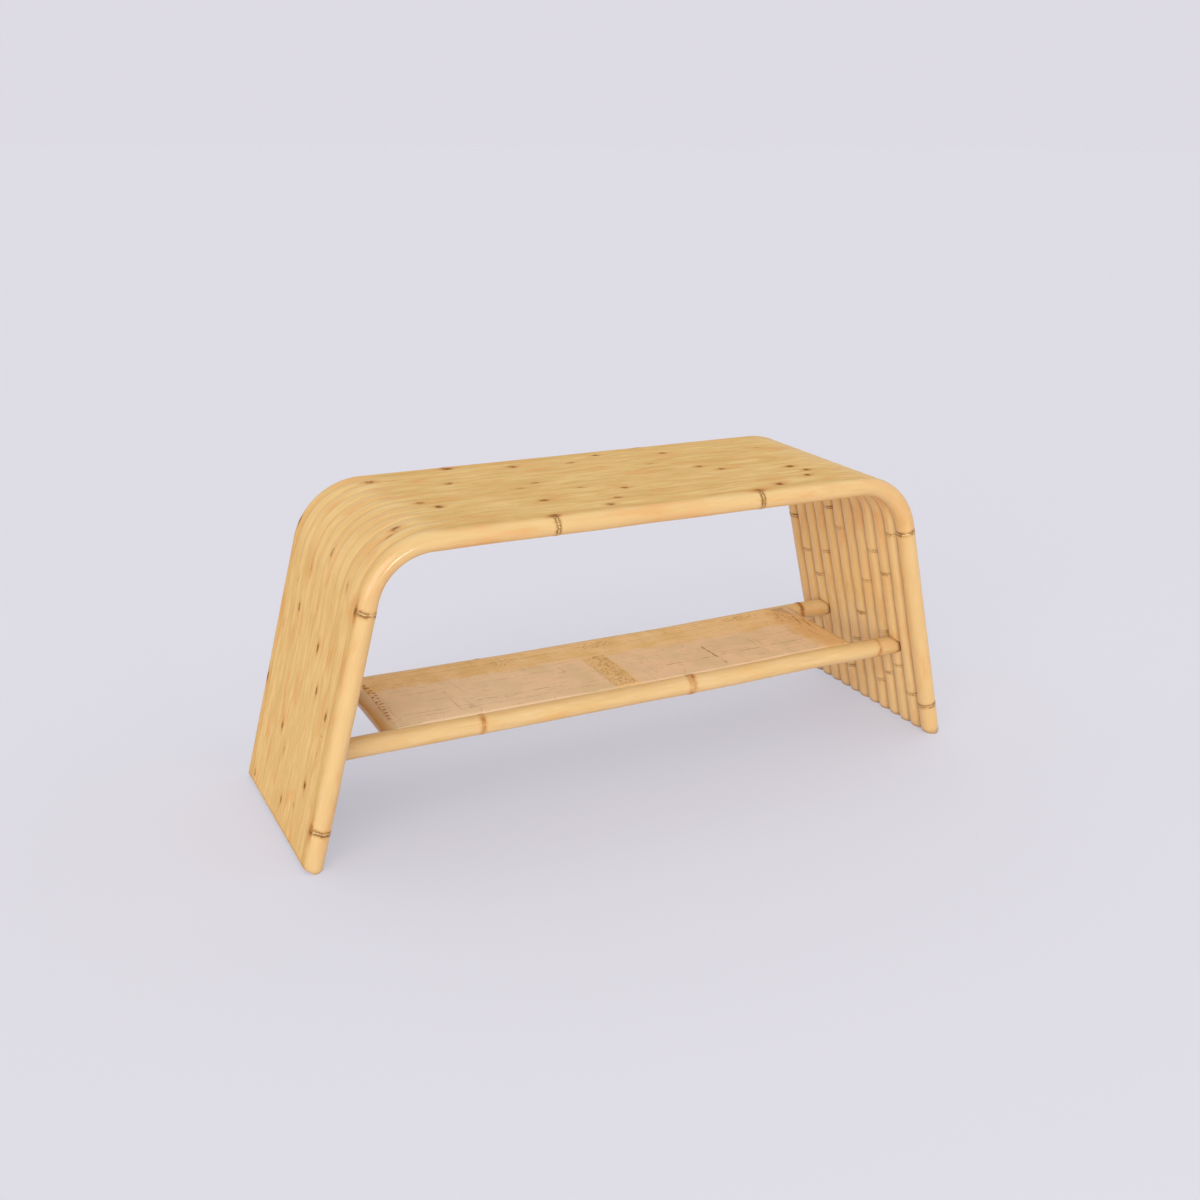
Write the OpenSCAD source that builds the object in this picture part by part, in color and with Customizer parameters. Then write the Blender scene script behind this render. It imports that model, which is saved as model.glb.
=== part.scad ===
// Entryway bench of bent rattan poles with a woven lower shelf.
// Frame: origin on the floor under the middle of the bench, X along its length,
// -Y towards the front, Z up. All sizes are in millimetres.

/* [Seat and legs] */
// Height of the top of the seat above the floor
seat_height = 450; // [420:1:480]
// Length of the straight stretch of the seat, between the two bends
seat_straight = 676; // [620:1:760]
// Lean of each leg from upright, in degrees
leg_lean = 14.2; // [8:0.1:18]
// Radius of the bend between seat and leg, at the centre of the poles
bend_radius = 93.5; // [85:0.5:120]

/* [Seat poles] */
// Number of poles that lie side by side
pole_count = 12; // [8:1:14]
// Diameter of a pole
pole_diameter = 28.7; // [26:0.1:32]
// Depth planed off each side where a pole lies against the next one
side_flat = 0.475; // [0.2:0.025:0.8]
// Radius of the sanded crown on the outer side of a pole
crown_radius = 36; // [26:1:45]

/* [Shelf frame] */
// Height of the centre of the long rails above the floor
rail_height = 140; // [110:1:180]
// Diameter of the front and back rails
rail_diameter = 30; // [26:0.5:32]
// Number of poles outside the pole that a rail ends on
rail_inset_poles = 2; // [1:1:2]
// Distance from a leg's inner face to the centre of the end rail beside it
end_rail_inset = 87; // [75:1:140]
// Diameter of the end rails
end_rail_diameter = 28; // [24:0.5:30]
// Gap left for glue where a rail's hollowed end fits round a pole or rail
cope_gap = 0.3; // [0.2:0.05:0.5]

/* [Shelf board and batten] */
// Thickness of the board under the weave
board_thickness = 6; // [5:0.5:8]
// Width of the ledge cut in each rail for the board's edge
ledge_width = 5; // [3:0.5:6]
// Play of the board and the batten in the rails, on each side
board_gap = 0.2; // [0.1:0.05:0.3]
// Width of the batten under the middle of the board
batten_width = 38; // [28:1:60]
// Thickness of that batten
batten_thickness = 9; // [8:0.5:10]

/* [Weave] */
// Thickness of the woven mat on the board
weave_thickness = 2; // [1.5:0.1:3]
// How far the mat lies over each rail, from the rail's inner side
weave_lap = 13.5; // [8:0.5:14]
// Width of the band across the mat, between its two panels
centre_band_width = 38; // [25:1:60]
// Width of the mat's hem along the front rail
front_border_width = 6; // [4:1:30]
// Width of the mat's border along the back rail
back_border_width = 66; // [58:1:80]
// Width of the mat's hem along the left end rail
left_border_width = 12; // [6:1:40]
// Width of the mat's border along the right end rail
right_border_width = 50; // [20:1:60]
// Length cut off the mat's right back corner, along the back rail
corner_cut_x = 34; // [10:1:45]
// Length cut off the mat's right back corner, along the end rail
corner_cut_y = 55; // [10:1:55]
// Seam between two pieces of the mat
weave_seam = 0.3; // [0.1:0.1:0.6]

/* [Rods, dowels and screws] */
// Diameter of the wooden rods that run through all the poles
rod_diameter = 8; // [6:0.5:10]
// Distance of the outer seat rods from the middle of the bench
seat_rod_x = 250; // [150:1:300]
// Distance of the lower leg rods from the floor, along the leg
low_rod_rise = 75; // [50:1:100]
// Distance of the upper leg rods from the floor, along the leg
high_rod_rise = 290; // [220:1:320]
// Wall left in the two outermost poles beyond a rod's end
rod_end_wall = 7; // [5:0.5:9]
// Diameter of the dowels between rails and legs
leg_dowel_diameter = 10; // [8:0.5:12]
// Length of such a dowel inside the rail
leg_dowel_in_rail = 25; // [18:1:35]
// Length of such a dowel inside the pole
leg_dowel_in_pole = 13; // [8:0.5:15]
// Diameter of the dowels between end rails and long rails
end_dowel_diameter = 8; // [6:0.5:10]
// Length of such a dowel inside the end rail
end_dowel_in_end_rail = 20; // [12:1:30]
// Length of such a dowel inside the long rail
end_dowel_in_long_rail = 12; // [8:0.5:15]
// Play of a rod or dowel in its bore, on each side
bore_gap = 0.1; // [0.05:0.05:0.2]
// Shank diameter of the batten screws
screw_diameter = 3.5; // [3:0.5:4.5]
// Head diameter of the batten screws
screw_head_diameter = 7; // [6:0.5:9]
// Depth of a screw's point in the board
screw_bite = 3.5; // [2:0.5:4]
// Distance from the end of the batten to its screw
screw_inset = 25; // [15:1:60]

/* [Hidden] */
$fn = 96;
row = [for (i = [1:pole_count]) i];
function pole_name(i) = str("seat_pole_", i < 10 ? "0" : "", i);

// Colours
rattan = [0.89, 0.73, 0.49];
rattan_rail = [0.87, 0.69, 0.44];
weave_tan = [0.83, 0.67, 0.47];
weave_gold = [0.85, 0.67, 0.38];
hidden_wood = [0.78, 0.62, 0.42];
steel = [0.70, 0.70, 0.72];

// Room that is cut past a face so that no skin is left
over = 1;
// A leg is this much slimmer all round than its bend and starts this far inside it, so
// that rounding leaves no sliver where the two run together
join_step = 0.01;
join_depth = 0.5;

// Seat poles
pole_radius = pole_diameter / 2;
pole_pitch = pole_diameter - 2 * side_flat;
half_pitch = pole_pitch / 2;
row_half = (pole_count - 1) / 2 * pole_pitch;
seat_centre_z = seat_height - pole_radius;
bend_centre_z = seat_centre_z - bend_radius;
bend_centre_x = seat_straight / 2;
leg_length = (bend_centre_z + bend_radius * sin(leg_lean)) / cos(leg_lean);
foot_x = bend_centre_x + bend_radius * cos(leg_lean) + leg_length * sin(leg_lean);
// The pole's lowest corner reaches this far past the centre line's end before the floor cut
foot_overrun = pole_diameter * tan(leg_lean) + over;

// Rails: both long rails end on a pole, rail_inset_poles in from the edge of the row
rail_radius = rail_diameter / 2;
end_rail_radius = end_rail_diameter / 2;
rail_y = row_half - rail_inset_poles * pole_pitch;
leg_x_at_rail = foot_x - rail_height * tan(leg_lean);
leg_face_x_at_rail = leg_x_at_rail - pole_radius / cos(leg_lean);
end_rail_x = leg_face_x_at_rail - end_rail_inset;
// The tops of all four rails are level
rail_top = rail_height + rail_radius;
end_rail_z = rail_top - end_rail_radius;

// Distance from a rail's centre line to its surface, that far below its top
function half_width(radius, depth) = sqrt(radius * radius - (radius - depth) * (radius - depth));

// Board and batten: the board's top is level with the rails
field_half_x = end_rail_x - end_rail_radius;
field_half_y = rail_y - rail_radius;
board_half_x = end_rail_x - half_width(end_rail_radius, board_thickness) + ledge_width;
board_half_y = rail_y - half_width(rail_radius, board_thickness) + ledge_width;
board_bottom = rail_top - board_thickness;
batten_bottom = board_bottom - batten_thickness;

// Mat: the seams round its two equal panels, and its outer edges
mat_half_x = field_half_x + weave_lap;
mat_half_y = field_half_y + weave_lap;
left_seam_x = left_border_width - mat_half_x;
right_seam_x = mat_half_x - right_border_width;
front_seam_y = front_border_width - mat_half_y;
back_seam_y = mat_half_y - back_border_width;
band_x = (left_seam_x + right_seam_x) / 2;
half_seam = weave_seam / 2;

// Rods and dowels
rod_half_length = row_half + pole_radius - rod_end_wall;
rod_bore = rod_diameter + 2 * bore_gap;
leg_dowel_bore = leg_dowel_diameter + 2 * bore_gap;
end_dowel_bore = end_dowel_diameter + 2 * bore_gap;
screw_y = board_half_y - screw_inset;
screw_length = batten_thickness + screw_bite;

// Distance from the row's middle to pole i, front pole first
function pole_y(i) = (i - (pole_count + 1) / 2) * pole_pitch;
// Side on which pole i has no neighbour: 1 at the front, -1 at the back, else 0
function free_side(i) = i == 1 ? 1 : i == pole_count ? -1 : 0;
// A point on the right leg's centre line, that far up the leg from the floor
function leg_point(rise) = [foot_x - rise * sin(leg_lean), rise * cos(leg_lean)];
// True when a rail ends on pole i
function carries_rail(i) = i == 1 + rail_inset_poles || i == pole_count - rail_inset_poles;

// Cross-section of a pole: x points to the outer side of the bench, y along the row.
// The inner side is round, the outer side a shallow crown, and the sides are planed
// flat where a neighbour lies against them. A free side stays round.
module pole_section(free, slimmer = 0) {
    side = half_pitch - slimmer;
    low = free == -1 ? 0 : -side;
    high = free == 1 ? 0 : side;
    cut_low = free == -1 ? -pole_diameter : -side;
    cut_high = free == 1 ? pole_diameter : side;
    intersection() {
        union() {
            circle(r = pole_radius - slimmer);
            translate([0, low])
                square([pole_radius, high - low]);
        }
        translate([pole_radius - crown_radius, 0])
            circle(r = crown_radius - slimmer);
        translate([-pole_diameter, cut_low])
            square([2 * pole_diameter, cut_high - cut_low]);
    }
}

// A straight stretch along X whose outer side points to +Y
module straight(length, free, slimmer = 0) {
    rotate([90, 0, 90])
        linear_extrude(length)
            pole_section(free, slimmer);
}

// Right bend, a quarter turn round its centre that is cut off where the leg starts
module bend(free) {
    difference() {
        rotate_extrude(angle = 90)
            translate([bend_radius, 0])
                pole_section(free);
        rotate([0, 0, leg_lean])
            translate([0, -2 * bend_radius, -pole_diameter])
                cube([2 * bend_radius, 2 * bend_radius, 2 * pole_diameter]);
    }
}

// Right leg, down from the end of the bend
module leg(free) {
    rotate([0, 0, leg_lean])
        translate([bend_radius, join_depth, 0])
            rotate([0, 0, -90])
                straight(join_depth + leg_length + foot_overrun, free, join_step);
}

module bend_and_leg(free) {
    translate([bend_centre_x, bend_centre_z, 0]) {
        bend(free);
        leg(free);
    }
}

// One whole pole in the plane of the arch: X along the bench, Y up
module arch(free) {
    difference() {
        union() {
            translate([-bend_centre_x, seat_centre_z, 0])
                straight(seat_straight, free);
            bend_and_leg(free);
            mirror([1, 0, 0])
                bend_and_leg(free);
        }
        translate([-2 * foot_x, -pole_diameter, -pole_diameter])
            cube([4 * foot_x, pole_diameter, 2 * pole_diameter]);
    }
}

// The centres of the rods, as X and height, one group for each place
seat_rod_places = [[-seat_rod_x, seat_centre_z], [0, seat_centre_z], [seat_rod_x, seat_centre_z]];
right_rod_places = [leg_point(low_rod_rise), leg_point(high_rod_rise)];
left_rod_places = [for (p = right_rod_places) [-p[0], p[1]]];

// A round bar along Y, centred on the row, at each place
module bars_along_row(places, diameter, half_length) {
    for (p = places)
        translate([p[0], half_length, p[1]])
            rotate([90, 0, 0])
                cylinder(d = diameter, h = 2 * half_length);
}

// A round bar along X between two X values
module bar_x(from_x, to_x, y, z, diameter) {
    translate([from_x, y, z])
        rotate([0, 90, 0])
            cylinder(d = diameter, h = to_x - from_x);
}

// The dowel between the right end of a long rail and its pole
module leg_dowel(y, diameter, extra) {
    bar_x(leg_face_x_at_rail - leg_dowel_in_rail - extra, leg_face_x_at_rail + leg_dowel_in_pole + extra,
        y, rail_height, diameter);
}

// Those dowels, or their bores, at both ends of the rail at y
module leg_dowel_pair(y, diameter, extra) {
    leg_dowel(y, diameter, extra);
    mirror([1, 0, 0])
        leg_dowel(y, diameter, extra);
}

// The dowel between the right end rail and the back rail
module end_dowel(diameter, extra) {
    from_y = field_half_y - end_dowel_in_end_rail - extra;
    to_y = field_half_y + end_dowel_in_long_rail + extra;
    translate([end_rail_x, to_y, end_rail_z])
        rotate([90, 0, 0])
            cylinder(d = diameter, h = to_y - from_y);
}

// All four of them, or their bores
module end_dowel_set(diameter, extra) {
    for (side_x = [0, 1])
        for (side_y = [0, 1])
            mirror([side_x, 0, 0])
                mirror([0, side_y, 0])
                    end_dowel(diameter, extra);
}

module seat_pole(i) {
    color(rattan)
        difference() {
            translate([0, pole_y(i), 0])
                rotate([90, 0, 0])
                    arch(free_side(i));
            bars_along_row(concat(seat_rod_places, left_rod_places, right_rod_places),
                rod_bore, rod_half_length + bore_gap);
            if (carries_rail(i))
                leg_dowel_pair(pole_y(i), leg_dowel_bore, bore_gap);
        }
}

// The room that a rail's end leaves round the pole it meets and that pole's neighbours
module leg_cope(y) {
    for (side_x = [0, 1])
        for (k = [-1:1])
            mirror([side_x, 0, 0])
                translate([foot_x, y + k * pole_pitch, 0])
                    rotate([0, -leg_lean, 0])
                        cylinder(r = pole_radius + cope_gap, h = leg_length);
}

// The room above the ledges for the board, open at the top
module board_room() {
    room_x = board_half_x + board_gap;
    room_y = board_half_y + board_gap;
    translate([-room_x, -room_y, board_bottom])
        cube([2 * room_x, 2 * room_y, board_thickness + over]);
}

// The room for the batten, which is let into both long rails from above
module batten_room() {
    room_x = batten_width / 2 + board_gap;
    room_y = board_half_y + board_gap;
    translate([-room_x, -room_y, batten_bottom])
        cube([2 * room_x, 2 * room_y, batten_thickness + over]);
}

// side is -1 for the front rail and 1 for the back rail
module long_rail(side) {
    color(rattan_rail)
        difference() {
            bar_x(-leg_x_at_rail, leg_x_at_rail, side * rail_y, rail_height, rail_diameter);
            leg_cope(side * rail_y);
            leg_dowel_pair(side * rail_y, leg_dowel_bore, bore_gap);
            end_dowel_set(end_dowel_bore, bore_gap);
            board_room();
            batten_room();
        }
}

// side is -1 for the left end rail and 1 for the right one
module end_rail(side) {
    color(rattan_rail)
        difference() {
            translate([side * end_rail_x, rail_y, end_rail_z])
                rotate([90, 0, 0])
                    cylinder(d = end_rail_diameter, h = 2 * rail_y);
            for (y = [-rail_y, rail_y])
                bar_x(-leg_x_at_rail, leg_x_at_rail, y, rail_height, rail_diameter + 2 * cope_gap);
            end_dowel_set(end_dowel_bore, bore_gap);
            board_room();
        }
}

module shelf_board() {
    color(hidden_wood)
        difference() {
            translate([-board_half_x, -board_half_y, board_bottom])
                cube([2 * board_half_x, 2 * board_half_y, board_thickness]);
            screw_set();
        }
}

module shelf_batten() {
    color(hidden_wood)
        difference() {
            translate([-batten_width / 2, -board_half_y, batten_bottom])
                cube([batten_width, 2 * board_half_y, batten_thickness]);
            screw_set();
        }
}

// One countersunk screw, point up, with its head flush under the batten
module screw() {
    head_height = (screw_head_diameter - screw_diameter) / 2;
    cylinder(d1 = screw_head_diameter, d2 = screw_diameter, h = head_height);
    translate([0, 0, head_height])
        cylinder(d = screw_diameter, h = screw_length - head_height);
}

module screw_set() {
    for (side = [-1, 1])
        translate([0, side * screw_y, batten_bottom])
            screw();
}

module batten_screws() {
    color(steel)
        screw_set();
}

// A flat piece of the mat between two corners
module woven(colour, low, high) {
    color(colour)
        translate([low[0], low[1], rail_top])
            cube([high[0] - low[0], high[1] - low[1], weave_thickness]);
}

// A piece of the mat between two X values that reaches from the front hem to the back border
module woven_between(colour, from_x, to_x) {
    woven(colour, [from_x, front_seam_y + half_seam], [to_x, back_seam_y - half_seam]);
}

module weave_left() {
    woven_between(weave_tan, left_seam_x + half_seam, band_x - centre_band_width / 2 - half_seam);
}

module weave_right() {
    woven_between(weave_tan, band_x + centre_band_width / 2 + half_seam, right_seam_x - half_seam);
}

module weave_centre_band() {
    reach_x = centre_band_width / 2 - half_seam;
    woven_between(weave_gold, band_x - reach_x, band_x + reach_x);
}

module weave_left_border() {
    woven_between(weave_gold, -mat_half_x, left_seam_x - half_seam);
}

module weave_right_border() {
    woven_between(weave_gold, right_seam_x + half_seam, mat_half_x);
}

module weave_front_border() {
    woven(weave_gold, [-mat_half_x, -mat_half_y], [mat_half_x, front_seam_y - half_seam]);
}

// The back border, with the mat's right back corner cut off
module weave_back_border() {
    inner_y = back_seam_y + half_seam;
    cut_y = mat_half_y - corner_cut_y;
    cut_x = mat_half_x - corner_cut_x;
    color(weave_gold)
        translate([0, 0, rail_top])
            linear_extrude(weave_thickness)
                polygon([[-mat_half_x, inner_y], [mat_half_x, inner_y], [mat_half_x, cut_y],
                    [cut_x, mat_half_y], [-mat_half_x, mat_half_y]]);
}

module rods(places) {
    color(hidden_wood)
        bars_along_row(places, rod_diameter, rod_half_length);
}

module leg_dowels() {
    color(hidden_wood)
        for (y = [-rail_y, rail_y])
            leg_dowel_pair(y, leg_dowel_diameter, 0);
}

module end_rail_dowels() {
    color(hidden_wood)
        end_dowel_set(end_dowel_diameter, 0);
}

for (i = row)
    seat_pole(i);
long_rail(-1);  // shelf_front_rail
long_rail(1);  // shelf_back_rail
end_rail(-1);  // shelf_left_rail
end_rail(1);  // shelf_right_rail
shelf_board();
shelf_batten();
batten_screws();
weave_left();
weave_right();
weave_centre_band();
weave_front_border();
weave_back_border();
weave_left_border();
weave_right_border();
rods(seat_rod_places);  // seat_rods
rods(left_rod_places);  // left_leg_rods
rods(right_rod_places);  // right_leg_rods
leg_dowels();
end_rail_dowels();
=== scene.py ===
import math

import bpy
import numpy as np
from mathutils import Matrix, Vector


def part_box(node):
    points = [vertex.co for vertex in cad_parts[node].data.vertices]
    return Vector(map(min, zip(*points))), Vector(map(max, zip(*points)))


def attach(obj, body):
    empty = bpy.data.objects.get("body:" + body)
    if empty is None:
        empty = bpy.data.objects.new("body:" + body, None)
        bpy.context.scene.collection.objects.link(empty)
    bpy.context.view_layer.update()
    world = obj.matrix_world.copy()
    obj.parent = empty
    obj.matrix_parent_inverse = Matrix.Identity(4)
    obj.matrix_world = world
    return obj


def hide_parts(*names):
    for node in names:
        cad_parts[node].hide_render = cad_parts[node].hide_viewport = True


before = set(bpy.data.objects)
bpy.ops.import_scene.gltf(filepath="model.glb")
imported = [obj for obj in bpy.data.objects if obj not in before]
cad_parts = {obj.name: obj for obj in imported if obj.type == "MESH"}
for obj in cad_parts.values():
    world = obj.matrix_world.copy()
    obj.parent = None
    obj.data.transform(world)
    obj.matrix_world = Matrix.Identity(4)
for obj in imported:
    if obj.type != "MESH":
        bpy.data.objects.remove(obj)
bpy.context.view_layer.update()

# -------- sizes, in metres
POLES = 12
POLE_R = 0.01435
HALF_PITCH = 0.013875
# The radius of the sanded outer faces: nearly flat on legs and seat, rounder in the bends
CROWN_FLAT, CROWN_BEND = 0.150, 0.028
SEAT_HALF = 0.338
BEND_R = 0.0935
LEAN = math.radians(14.2)
SEAT_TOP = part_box("seat_pole_01")[1].z
SEAT_Z = SEAT_TOP - POLE_R
LEG = (SEAT_Z - BEND_R + BEND_R * math.sin(LEAN)) / math.cos(LEAN)
ARC = BEND_R * (math.pi / 2 - LEAN)
FOOT_X = SEAT_HALF + BEND_R * math.cos(LEAN) + LEG * math.sin(LEAN)
TOTAL = 2 * LEG + 2 * ARC + 2 * SEAT_HALF
FRONT_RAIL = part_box("shelf_front_rail")
BACK_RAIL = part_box("shelf_back_rail")
LEFT_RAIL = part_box("shelf_left_rail")
RAIL_R = (FRONT_RAIL[1].z - FRONT_RAIL[0].z) / 2
RAIL_Z = (FRONT_RAIL[1].z + FRONT_RAIL[0].z) / 2
RAIL_Y = (BACK_RAIL[1].y + BACK_RAIL[0].y) / 2
END_RAIL_R = (LEFT_RAIL[1].z - LEFT_RAIL[0].z) / 2
END_RAIL_X = -(LEFT_RAIL[0].x + LEFT_RAIL[1].x) / 2
END_RAIL_Z = (LEFT_RAIL[1].z + LEFT_RAIL[0].z) / 2
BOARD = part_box("shelf_board")
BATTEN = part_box("shelf_batten")
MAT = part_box("weave_back_border")
MAT_T = MAT[1].z - MAT[0].z
# The cut corner of the mat: how much it takes off along X and along Y
CORNER_X, CORNER_Y = 0.034, 0.055
# The left end rail of this bench, with the mat on it, sits a little further in
SHIFT = 0.0055
FULL_TURN = 2 * np.pi
rng = np.random.default_rng(41)


def pole_y(i):
    """Middle of pole i, 1 at the front."""
    return (i - (POLES + 1) / 2) * 2 * HALF_PITCH


def ease(x, lo, hi):
    """0 below lo, 1 above hi, smooth between."""
    t = np.clip((x - lo) / (hi - lo), 0, 1)
    return t * t * (3 - 2 * t)


def drift(x, y):
    """How far the shelf lies above or below its drawn height: its rails aren't quite straight."""
    front = -0.0011 + 0.0027 * ease(x, 0.05, 0.35)
    back = -0.0012 + 0.0052 * ease(x, 0.12, 0.44) + 0.0015 * ease(-x, 0.15, 0.40)
    share = np.clip((y / RAIL_Y + 1) / 2, 0, 1)
    return front * (1 - share) + back * share


def shift(x):
    """How far the shelf is moved to the right: SHIFT at the left end rail, nothing at the right."""
    return SHIFT * (0.5 - x / (2 * END_RAIL_X))


def wave(s, seed, low, high, count=4):
    """A column that wanders smoothly, about -1 to 1, with wavelengths between low and high."""
    r = np.random.default_rng(seed)
    lengths = r.uniform(low, high, count)
    phases = r.uniform(0, FULL_TURN, count)
    gains = r.uniform(0.5, 1.0, count)
    terms = (g * np.sin(FULL_TURN * s / w + p) for g, w, p in zip(gains, lengths, phases))
    return (sum(terms) / gains.sum())[:, None]


# -------- node helpers
class Nodes:
    """A small wrapper to write the node tree of a material, or of the world, in few lines."""

    def __init__(self, owner, output="OutputMaterial"):
        owner.use_nodes = True
        self.tree = owner.node_tree
        self.tree.nodes.clear()
        self.out = self.add(output)

    def add(self, kind, **props):
        node = self.tree.nodes.new("ShaderNode" + kind)
        for key, value in props.items():
            setattr(node, key, value)
        return node

    def put(self, socket, value):
        if isinstance(value, bpy.types.NodeSocket):
            self.tree.links.new(value, socket)
        else:
            socket.default_value = value

    def fill(self, node, *values):
        """Puts values into a node's first inputs, in order."""
        for socket, value in zip(node.inputs, values):
            self.put(socket, value)
        return node.outputs

    def named(self, node, **values):
        """Puts values into a node's inputs, by name."""
        for name, value in values.items():
            self.put(node.inputs[name], value)
        return node.outputs

    def show(self, shader):
        self.put(self.out.inputs[0], shader)

    def glow(self, kind, colour, strength):
        """A shader of one plain colour."""
        return self.fill(self.add(kind), colour, strength)[0]

    def blend(self, share, a, b):
        """Shader a with a share of shader b."""
        return self.fill(self.add("MixShader"), share, a, b)[0]

    def math(self, op, *values, clamp=False):
        return self.fill(self.add("Math", operation=op, use_clamp=clamp), *values)[0]

    def plus(self, a, b, clamp=False):
        return self.math("ADD", a, b, clamp=clamp)

    def times(self, a, b, clamp=False):
        return self.math("MULTIPLY", a, b, clamp=clamp)

    def line(self, a, factor, offset, clamp=False):
        """a times factor, plus offset."""
        return self.math("MULTIPLY_ADD", a, factor, offset, clamp=clamp)

    def most(self, a, b):
        return self.math("MAXIMUM", a, b)

    def away(self, value, place):
        """How far a value lies from a place."""
        return self.math("ABSOLUTE", self.math("SUBTRACT", value, place))

    def attribute(self, name, output="Fac"):
        return self.add("Attribute", attribute_name=name).outputs[output]

    def position(self):
        return self.add("TexCoord").outputs["Object"]

    def split(self, vector):
        return self.fill(self.add("SeparateXYZ"), vector)

    def combine(self, x, y, z):
        return self.fill(self.add("CombineXYZ"), x, y, z)[0]

    def noise(self, vector, scale, detail=3.0, rough=0.5, distortion=0.0):
        node = self.add("TexNoise")
        return self.named(node, Vector=vector, Scale=scale, Detail=detail, Roughness=rough,
                          Distortion=distortion)["Fac"]

    def cells(self, vector, scale, randomness=1.0):
        """Distance to the nearest of many scattered points."""
        node = self.add("TexVoronoi")
        return self.named(node, Vector=vector, Scale=scale, Randomness=randomness)["Distance"]

    def near(self, value, lo, hi, top=1.0):
        """top up to lo, falling to 0 at hi."""
        return self.span(value, lo, hi, top, 0.0)

    def span(self, value, lo, hi, to_lo=0.0, to_hi=1.0):
        """Runs smoothly from to_lo to to_hi while value runs from lo to hi."""
        node = self.add("MapRange", clamp=True, interpolation_type="SMOOTHSTEP")
        return self.fill(node, value, lo, hi, to_lo, to_hi)[0]

    def mix(self, share, a, b):
        """Colour a with a share of colour b."""
        node = self.add("Mix", data_type="RGBA")
        self.put(node.inputs[0], share)
        self.put(node.inputs[6], a)
        self.put(node.inputs[7], b)
        return node.outputs[2]


class Surface(Nodes):
    """A material with one shader."""

    def __init__(self, name):
        self.mat = bpy.data.materials.new(name)
        super().__init__(self.mat)
        self.bsdf = self.add("BsdfPrincipled")
        self.show(self.bsdf.outputs[0])

    def surface(self, socket, value):
        """Sets one of the shader's own values."""
        self.put(self.bsdf.inputs[socket], value)

    def relief(self, height, strength, distance):
        """Lets a height roughen the surface."""
        bump = self.named(self.add("Bump"), Height=height, Strength=strength, Distance=distance)
        self.surface("Normal", bump[0])


def rgb(r, g, b):
    """An sRGB colour, 0 to 255, as linear RGBA."""
    def linear(v):
        v /= 255
        return v / 12.92 if v <= 0.04045 else ((v + 0.055) / 1.055) ** 2.4
    return (linear(r), linear(g), linear(b), 1.0)


# -------- materials
SKIN_AND_FILL_LIGHT = rgb(232, 199, 142)
RUDDY_SKIN = rgb(220, 156, 86)
OPEN_FIBRE = rgb(182, 128, 66)
OUTER_SEAM_DUST_AND_SHADE, INNER_SEAM_DUST_AND_SHADE = rgb(202, 150, 84), rgb(162, 104, 50)
RING_STAIN = rgb(196, 142, 70)
RING_BELT = rgb(158, 112, 48)
RING_RIDGE = rgb(246, 220, 156)
WIDE_RING_LINE = rgb(134, 96, 42)
KNOT_STREAK = rgb(202, 130, 66)
# Where a ring's pale ridge and its two dark lines lie, in metres past its middle
RIDGE_AT, UPPER_AT, LOWER_AT = 0.0003, 0.0017, -0.0013


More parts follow.
